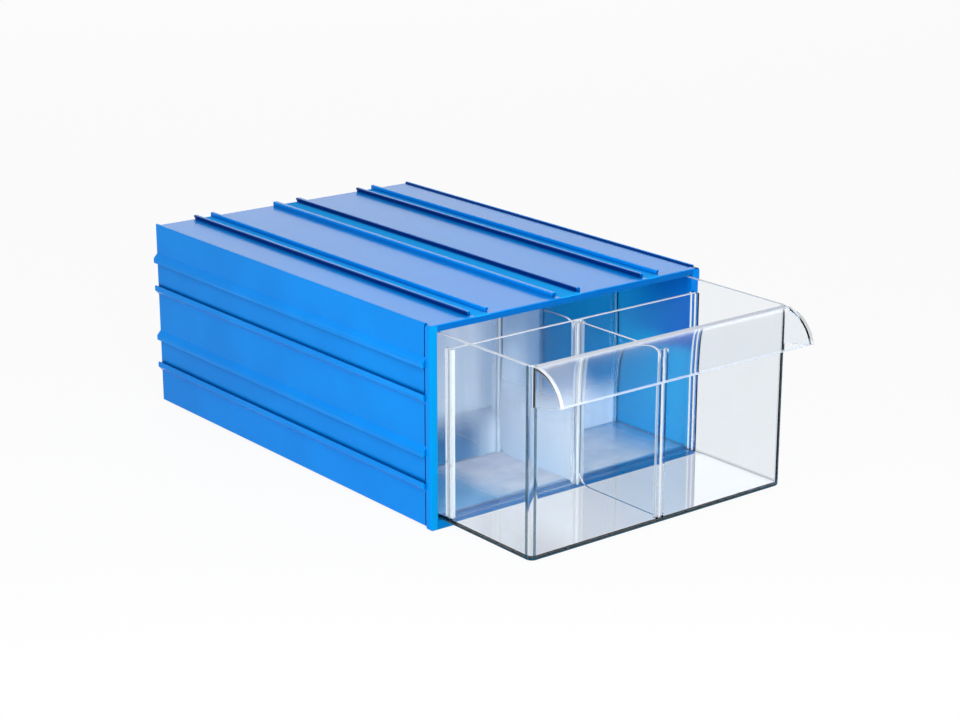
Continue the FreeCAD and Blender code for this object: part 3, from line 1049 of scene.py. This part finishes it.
@dataclass
class Casing:
    """The one-piece casing, open at the front, with a rim and stacking rails."""

    rail_rise: float = 2.4
    side_step: float = 0.6
    top_step: float = 0.3
    foot_step: float = 1.4
    rim_depth: float = 4.0
    rim_width: float = 4.6
    rim_head: float = 3.4
    edge_rise: float = 1.0
    edge_width: float = 1.4
    side_wall: float = 2.6
    top_wall: float = 2.2
    back_wall: float = 2.6
    floor: float = 2.5
    base_hollow: float = 2.3
    rail_offset: float = 56.0
    side_rails: Pair = (31.0, 76.0)
    side_slope: float = 2.6
    panel_edge: float = 0.4
    rim_edge: float = 0.7
    rim_corner: float = 1.6
    mouth_edge: float = 0.5
    end_edge: float = 0.25
    seam_width: float = 1.3
    seam_depth: float = 1.0
    seam_past: float = 1.0
    seam_out: float = 3.0
    rails: RailSection = field(default_factory=RailSection)

    def __post_init__(self) -> None:
        """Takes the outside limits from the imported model."""
        low, high = limits("casing")
        self.front, self.back = low.y, high.y
        self.panel_side = high.x - self.rail_rise
        self.panel_top = high.z - self.rail_rise
        self.rim_side = self.panel_side + self.side_step
        self.rim_top = self.panel_top + self.top_step
        self.cavity_side = self.panel_side - self.side_wall
        self.cavity_floor = self.base_hollow + self.floor
        self.cavity_top = self.panel_top - self.top_wall
        self.rim_back = self.front + self.rim_depth

    def railed(
        self, level: float, along: Pair, kinds: dict[float, RailKind],
        rise: float, slope: float = 0.0,
    ) -> list[Triple]:
        """The rails on one face, in the order that the section is walked.

        Args:
            level: how far out the face lies.
            along: the way that it is walked.
            kinds: each rail's kind, by its middle along that way.
            rise: their height.
            slope: how far the outer face of a channel's lips leans.

        Returns:
            Points across and up, each with its radius.
        """
        spots = []
        for middle, kind in kinds.items():
            for across, off, radius in self.rails.steps(kind, rise, slope):
                run, out = middle + across, level + off
                x, z = along[0] * run + along[1] * out, along[1] * run - along[0] * out
                spots.append((x, z, radius))
        return spots

    def outside(self) -> Outline:
        """The section of the panels and all their rails, looked at along the box.

        Returns:
            The rounded outline.
        """
        edge, rise, spread = self.panel_edge, self.rail_rise, self.rail_offset
        side, top, hollow, step = self.panel_side, self.panel_top, self.base_hollow, self.foot_step
        ridge_top, ridge_side = top + self.edge_rise, side - self.edge_width
        tongue, channel = RailKind.TONGUE, RailKind.CHANNEL
        under = {-spread: channel, 0.0: RailKind.BAR, spread: channel}
        over = {-spread: tongue, 0.0: channel, spread: tongue}
        right = {middle: tongue for middle in self.side_rails}
        left = {-middle: channel for middle in reversed(self.side_rails)}
        inner = self.cavity_side
        foot = [(side, step, edge), (inner, step, edge), (inner, hollow, edge)]
        ridge = [(side, ridge_top, edge), (ridge_side, ridge_top, edge), (ridge_side, top, edge)]
        spots = [
            *((-x, z, radius) for x, z, radius in foot),
            *self.railed(-hollow, (1.0, 0.0), under, hollow),
            *reversed(foot),
            *self.railed(side, (0.0, 1.0), right, rise),
            *ridge,
            *self.railed(top, (-1.0, 0.0), over, rise),
            *((-x, z, radius) for x, z, radius in reversed(ridge)),
            *self.railed(side, (0.0, -1.0), left, rise, self.side_slope),
        ]
        return Outline((x, z) for x, z, _ in spots).rounded([radius for _, _, radius in spots])

    def mouth(self) -> Outline:
        """The section of the opening in the rim."""
        side, top = self.rim_side - self.rim_width, self.rim_top - self.rim_head
        return rectangle((-side, self.cavity_floor), (side, top)).rounded(self.mouth_edge)

    def cavity(self) -> Outline:
        """The section of the space behind the rim, which the drawer runs in."""
        low, high = (-self.cavity_side, self.cavity_floor), (self.cavity_side, self.cavity_top)
        return rectangle(low, high).rounded(self.mouth_edge)

    def panels(self) -> Piece:
        """The panels and rails behind the rim, hollow inside.

        Returns:
            One closed solid.
        """
        shell = Shell(Run.ALONG)
        outside, cavity, edge = self.outside(), self.cavity(), self.end_edge
        rings = [
            shell.ring(outside.grown(-edge), self.rim_back),
            shell.ring(outside, self.rim_back + edge),
            shell.ring(outside, self.back - edge),
            shell.ring(outside.grown(-edge), self.back),
        ]
        levels = (self.rim_back, self.back - self.back_wall)
        hollow = [shell.ring(cavity, level) for level in levels]
        for walls in (rings, hollow):
            shell.walls(walls)
        for walls in (rings, hollow):
            shell.lid(walls[-1])
        shell.band(rings[0], hollow[0])
        return shell.piece("casing_moulding")

    def rim(self) -> Piece:
        """The front rim, with rounded edges.

        Returns:
            One closed solid.
        """
        shell = Shell(Run.ALONG)
        low, high = (-self.rim_side, 0.0), (self.rim_side, self.rim_top)
        outer, mouth = rectangle(low, high).rounded(self.rim_corner), self.mouth()
        rings = []
        for inset, depth in quarter(self.rim_edge):
            rings.append(shell.ring(outer.grown(-inset), self.front + depth))
        for inset, depth in reversed(quarter(self.end_edge)):
            rings.append(shell.ring(outer.grown(-inset), self.rim_back - depth))
        rings.append(shell.ring(mouth, self.rim_back))
        for inset, depth in reversed(quarter(self.mouth_edge)):
            rings.append(shell.ring(mouth.grown(inset), self.front + depth))
        shell.walls(rings, closed=True)
        return shell.piece("casing_rim")

    def seam(self) -> Piece:
        """The shape of the narrow seam behind the rim on the left, broken by the rails' lips.

        Returns:
            The cuts as one object.
        """
        hook = self.rails.width / 2 + self.rails.clearance
        inner = hook - self.rails.hook_reach
        outer = hook + self.rails.channel_stem + self.side_slope
        low, high = self.side_rails
        foot = self.foot_step - self.seam_past
        head = self.panel_top + self.edge_rise + self.seam_past
        spans = [
            (foot, low - outer), (low - inner, low + inner), (low + outer, high - outer),
            (high - inner, high + inner), (high + outer, head),
        ]
        near, far = -self.rim_side - self.seam_out, self.seam_depth - self.panel_side
        shell = Shell(Run.ALONG)
        for start, end in spans:
            cut = rectangle((near, start), (far, end))
            shell.solid([(cut, self.rim_back), (cut, self.rim_back + self.seam_width)])
        return shell.piece("seam")

    def build(self, finish: Finish) -> Piece:
        """Builds the casing.

        Args:
            finish: its material.

        Returns:
            The casing as one piece.
        """
        piece = combined(self.panels(), self.rim(), "UNION")
        combined(piece, self.seam(), "DIFFERENCE")
        return settled(smoothed(piece), "casing", "casing", finish)


# Drawer


@dataclass(frozen=True)
class SlotSizes:
    """The ribbed slots that hold the divider plates, in millimetres."""

    plate: float = 1.6
    gap: float = 0.3
    rib: float = 1.4
    reach: float = 2.0

    def ribs(self, middle: float) -> list[Pair]:
        """The limits of a slot's two ribs along its wall.

        Args:
            middle: the middle of the slot.

        Returns:
            Each rib's limits.
        """
        inner = self.plate / 2 + self.gap
        outer = inner + self.rib
        return [(middle - outer, middle - inner), (middle + inner, middle + outer)]


def ribbed_line(ribs: Sequence[Pair], reach: float) -> list[Pair]:
    """A straight wall face with ribs on it.

    Args:
        ribs: each rib's limits along the wall, in order.
        reach: how far the ribs stand off it, or 0 for a bare wall with as many points.

    Returns:
        Points along the wall and off it.
    """
    points = []
    for low, high in ribs:
        third = 0.0 if reach else (high - low) / 3
        points += [(low, 0.0), (low + third, reach), (high - third, reach), (high, 0.0)]
    return points


@dataclass
class Drawer:
    """The clear drawer: walls and floor in one, slots for the plates and a rolled pull."""

    wall: float = 2.2
    base: float = 2.2
    corner: float = 4.0
    corner_steps: int = 8
    foot_edge: float = 1.5
    foot_steps: int = 5
    top_edge: float = 0.45
    pull_radius: float = 19.5
    pull_sheet: float = 2.0
    pull_turn: float = 78.0
    pull_past: float = 8.0
    pull_inset: float = 1.0
    pull_root: float = 2.0
    pull_edge: float = 0.45
    slots: SlotSizes = field(default_factory=SlotSizes)

    def __post_init__(self) -> None:
        """Takes the outside limits and the plates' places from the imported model."""
        low, high = limits("drawer")
        self.side, self.under, self.top, self.back = high.x, low.z, high.z, high.y
        self.front = low.y + self.pull_radius * math.sin(math.radians(self.pull_turn))
        crossing = [limits(f"cross_divider_{place}") for place in (1, 2, 3)]
        self.cross_places = [(near.y + far.y) / 2 for near, far in crossing]
        self.cross_top = crossing[0][1].z
        self.centre_top = limits("centre_divider_1")[1].z

    def loop(self, inset: float, side_reach: float = 0.0, end_reach: float = 0.0) -> Outline:
        """The drawer's plan at some depth into its wall.

        Args:
            inset: how far inside the outer face it lies.
            side_reach: how far the ribs on the side walls stand off it.
            end_reach: how far the ribs on the front and back walls do.

        Returns:
            The plan, with the same number of points at every inset.
        """
        radius = self.corner - inset
        side, front, back = self.side - inset, self.front + inset, self.back - inset
        long_ribs = [rib for place in self.cross_places for rib in self.slots.ribs(place)]
        sides = ribbed_line(long_ribs, side_reach)
        ends = ribbed_line(self.slots.ribs(0.0), end_reach)
        near, far, across = front + radius, back - radius, side - radius
        runs = [
            (across, near, -90.0, [(side - off, along) for along, off in sides]),
            (across, far, 0.0, [(along, back - off) for along, off in reversed(ends)]),
            (-across, far, 90.0, [(off - side, along) for along, off in reversed(sides)]),
            (-across, near, 180.0, [(along, front + off) for along, off in ends]),
        ]
        points: list[Pair] = []
        for x, y, start, line in runs:
            for step in range(self.corner_steps + 1):
                turn = math.radians(start + 90.0 * step / self.corner_steps)
                points.append((x + radius * math.cos(turn), y + radius * math.sin(turn)))
            points += line
        return Outline(points)

    def tray(self) -> Piece:
        """The walls, the floor and the ribs of the slots.

        Returns:
            One closed solid.
        """
        wall, reach, top = self.wall, self.slots.reach, self.top
        foot, edge = quarter(self.foot_edge, self.foot_steps), quarter(self.top_edge)
        levels = [(self.loop(inset), self.under + rise) for inset, rise in foot]
        levels += [(self.loop(inset), top - drop) for inset, drop in reversed(edge)]
        levels += [(self.loop(wall - inset), top - drop) for inset, drop in edge]
        levels += [
            (self.loop(wall), self.cross_top),
            (self.loop(wall, reach), self.cross_top),
            (self.loop(wall, reach), self.centre_top),
            (self.loop(wall, reach, reach), self.centre_top),
            (self.loop(wall, reach, reach), self.under + self.base),
        ]
        shell = Shell(Run.UP)
        shell.solid(levels)
        return shell.piece("drawer_moulding")

    def arc(self, radius: float, turn: float, steps: int = 20) -> list[Pair]:
        """Points round the pull's axis, from straight up towards the front.

        Args:
            radius: the distance from the axis.
            turn: how far round, in degrees.
            steps: how many facets.

        Returns:
            Points along the box and up.
        """
        axis = self.top - self.pull_radius
        turns = [math.radians(turn * step / steps) for step in range(steps + 1)]
        return [(self.front - radius * math.sin(a), axis + radius * math.cos(a)) for a in turns]

    def pull(self) -> Piece:
        """The rolled sheet with its end plates, rooted in the front wall.

        Returns:
            One closed solid.
        """
        past, sheet, turn = self.pull_radius, self.pull_sheet, self.pull_turn
        side, root = self.side - self.pull_inset, self.front + self.pull_root
        axis = self.top - past
        hood = [(root, self.top), *self.arc(past, turn), (self.front, axis), (root, axis)]
        under = [
            (root + past, self.top - sheet),
            *self.arc(past - sheet, turn + self.pull_past),
            (self.front - past, axis - past), (root + past, axis - past),
        ]
        forms = ((hood, side, "drawer_pull"), (under, side - sheet, "pull_space"))
        solids = []
        for points, reach, name in forms:
            outline, shell = Outline(points), Shell(Run.ACROSS)
            shell.solid([(outline, -reach), (outline, reach)])
            solids.append(shell.piece(name))
        return softened(combined(*solids, "DIFFERENCE"), self.pull_edge)

    def build(self, finish: Finish) -> Piece:
        """Builds the drawer as one piece with a finish."""
        piece = combined(self.tray(), self.pull(), "UNION")
        return settled(smoothed(piece), "drawer", "drawer", finish)


# Divider plates


@dataclass
class Dividers:
    """The loose clear plates: three across the drawer and four along its middle."""

    edge: float = 0.2
    edge_steps: int = 2
    corner: float = 9.0
    other_corner: float = 0.6
    corner_steps: int = 8
    lift: float = 0.05
    slots: SlotSizes = field(default_factory=SlotSizes)

    def cross_plan(self, side: float, middle: float, reach: float) -> Outline:
        """The plan of a cross plate.

        Args:
            side: half its length.
            middle: the middle of its thickness along the drawer.
            reach: how far its middle ribs stand off it, or 0 for the bare plate.

        Returns:
            The plan.
        """
        near, far = middle - self.slots.plate / 2, middle + self.slots.plate / 2
        line = ribbed_line(self.slots.ribs(0.0), reach)
        front = [(-side, near), *((along, near - off) for along, off in line), (side, near)]
        back = [(side, far), *((along, far + off) for along, off in reversed(line)), (-side, far)]
        return Outline(front + back)

    def cross(self, place: int, finish: Finish) -> Piece:
        """Builds one plate across the drawer.

        Args:
            place: which of the three, from the front.
            finish: its material.

        Returns:
            The plate.
        """
        node = f"cross_divider_{place}"
        low, high = limits(node)
        rib_top = limits("centre_divider_1")[1].z
        middle = (low.y + high.y) / 2
        ribbed = self.cross_plan(high.x, middle, self.slots.reach)
        bare = self.cross_plan(high.x, middle, 0.0)
        shell = Shell(Run.UP)
        foot = low.z + self.lift
        shell.solid([(ribbed, foot), (ribbed, rib_top), (bare, rib_top), (bare, high.z)])
        piece = softened(shell.piece(f"{node}_plate"), self.edge)
        return settled(smoothed(piece), node, "drawer", finish)

    def centre(self, place: int, finish: Finish) -> Piece:
        """Builds one plate along the middle of the drawer.

        Args:
            place: which of the four, from the front.
            finish: its material.

        Returns:
            The plate.
        """
        node = f"centre_divider_{place}"
        low, high = limits(node)
        outline = rectangle((low.y, low.z + self.lift), (high.y, high.z))
        outline = outline.rounded([self.other_corner, self.corner] * 2, self.corner_steps)
        edge = quarter(self.edge, self.edge_steps)
        levels = [(outline.grown(-inset), low.x + depth) for inset, depth in edge]
        levels += [(outline.grown(-inset), high.x - depth) for inset, depth in reversed(edge)]
        shell = Shell(Run.ACROSS)
        shell.solid(levels)
        piece = smoothed(shell.piece(f"{node}_plate"))
        return settled(piece, node, "drawer", finish)

    def build(self, across: Sequence[Finish], along: Sequence[Finish]) -> list[Piece]:
        """Builds all the plates.

        Args:
            across: the materials of the cross plates, from the front.
            along: the materials of the lengthwise plates, from the front.

        Returns:
            The plates, cross plates first.
        """
        plates = [self.cross(place, finish) for place, finish in enumerate(across, start=1)]
        return plates + [self.centre(place, finish) for place, finish in enumerate(along, start=1)]


# Studio


def direction(azimuth: float, elevation: float) -> Vector:
    """The way out from the box towards a lamp or the camera.

    Args:
        azimuth: degrees round from the front, towards the right.
        elevation: degrees above the floor.

    Returns:
        A vector of length 1.
    """
    turn, lift = math.radians(azimuth), math.radians(elevation)
    out = math.cos(lift)
    return Vector((math.sin(turn) * out, -math.cos(turn) * out, math.sin(lift)))


def aimed(piece: Piece, aim: Triple, way: Vector, distance: float) -> Piece:
    """Puts a lamp or the camera where it faces a point.

    Args:
        piece: the lamp or the camera.
        aim: the point, in metres.
        way: the way out from that point.
        distance: how far out, in metres.

    Returns:
        The lamp or the camera.
    """
    piece.location = Vector(aim) + way * distance
    piece.rotation_euler = way.to_track_quat("Z", "Y").to_euler()
    return piece


@dataclass(frozen=True)
class Softbox:
    """A large soft lamp that faces the box, in degrees, metres and watts."""

    name: str
    azimuth: float
    elevation: float
    distance: float
    size: Pair
    power: float
    mirrored: bool = True

    def build(self, aim: Triple) -> Piece:
        """Builds the lamp.

        Args:
            aim: the point that it faces, in metres.

        Returns:
            The lamp.
        """
        data = bpy.data.lights.new(self.name, "AREA")
        data.shape = "RECTANGLE"
        (data.size, data.size_y), data.energy = self.size, self.power
        lamp = placed(self.name, data)
        lamp.visible_camera = False
        lamp.visible_glossy = self.mirrored
        LOG.info("lamp %s", self.name)
        return aimed(lamp, aim, direction(self.azimuth, self.elevation), self.distance)


@dataclass
class Studio:
    """The floor, the lamps, the soft light all round and the camera."""

    aim: Triple = (-0.05771, -0.1275, 0.08181)
    azimuth: float = -38.3
    elevation: float = 17.37
    distance: float = 1.05697
    lens: float = 82.08
    floor_side: float = 12.0
    floor_drop: float = 0.0002
    ambient: float = 0.36
    bounces: int = 40
    softboxes: Sequence[Softbox] = (
        Softbox("key", -36.0, 40.0, distance=0.6, size=(0.6, 0.36), power=3.1, mirrored=False),
        Softbox("front", -28.0, 10.0, distance=1.0, size=(0.5, 0.3), power=6.0, mirrored=False),
        Softbox("side", -108.0, 12.0, distance=0.9, size=(0.6, 0.4), power=1.1),
        Softbox("back", 152.0, 20.0, distance=2.2, size=(2.2, 1.2), power=8.0),
    )

    def floor(self, finish: Finish) -> Piece:
        """Builds the floor.

        Args:
            finish: its material.

        Returns:
            The floor.
        """
        half = self.floor_side / 2
        data = bpy.data.meshes.new("floor")
        spots = [(-half, -half), (half, -half), (half, half), (-half, half)]
        data.from_pydata([(x, y, -self.floor_drop) for x, y in spots], [], [(0, 1, 2, 3)])
        data.materials.append(finish)
        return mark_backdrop(placed("floor", data))

    def surround(self) -> bpy.types.World:
        """Builds the soft light all round, which shows white wherever it is seen.

        Returns:
            The world.
        """
        world = bpy.data.worlds.new("surround")
        bpy.context.scene.world = world
        world.use_nodes = True
        shader = Shader(world.node_tree)
        strength = self.ambient + shader.ray(SEEN) * (1 - self.ambient)
        sockets = {"Color": (1.0, 1.0, 1.0), "Strength": strength}
        light = shader.node("ShaderNodeBackground", {}, sockets)
        shader.node("ShaderNodeOutputWorld", {}, {"Surface": light})
        return world

    def camera(self) -> Piece:
        """Builds the camera at the viewing angle of the picture.

        Returns:
            The camera.
        """
        data = bpy.data.cameras.new("camera")
        data.lens = self.lens
        made = placed("camera", data)
        bpy.context.scene.camera = made
        return aimed(made, self.aim, direction(self.azimuth, self.elevation), self.distance)

    def build(self, finish: Finish) -> None:
        """Builds the whole studio.

        Args:
            finish: the floor's material.
        """
        scene = bpy.context.scene
        scene.view_settings.view_transform = "Standard"
        scene.cycles.max_bounces = self.bounces
        scene.cycles.transmission_bounces = self.bounces
        scene.cycles.transparent_max_bounces = self.bounces
        self.floor(finish)
        self.surround()
        for softbox in self.softboxes:
            softbox.build(self.aim)
        self.camera()


def main() -> None:
    """Builds the studio, the casing, the drawer and the plates."""
    logging.basicConfig(level=logging.INFO, format="%(name)s %(message)s")
    Studio().build(PaleFloor().material())
    Casing().build(CasingPlastic().material())
    Drawer().build(DrawerPlastic().material())
    across = (
        ClearPlastic("ribbed_plate", Frost.RIBS, rim=92.9, gloss=0.03),
        PatchyPlastic(),
        ClearPlastic("frosted_plate", Frost.ALL, frost=0.50, gloss=0.05),
    )
    clear = ClearPlastic("clear_plate", gloss=0.03).material()
    foot = ((Axis.UP, 58.8, 25.2),)
    milky = ClearPlastic("milky_plate", Frost.FOOT, frost=1.20, gloss=0.05, foot=foot)
    along = (clear, milky.material(), clear, clear)
    Dividers().build([plate.material() for plate in across], along)


if __name__ == "__main__":
    main()
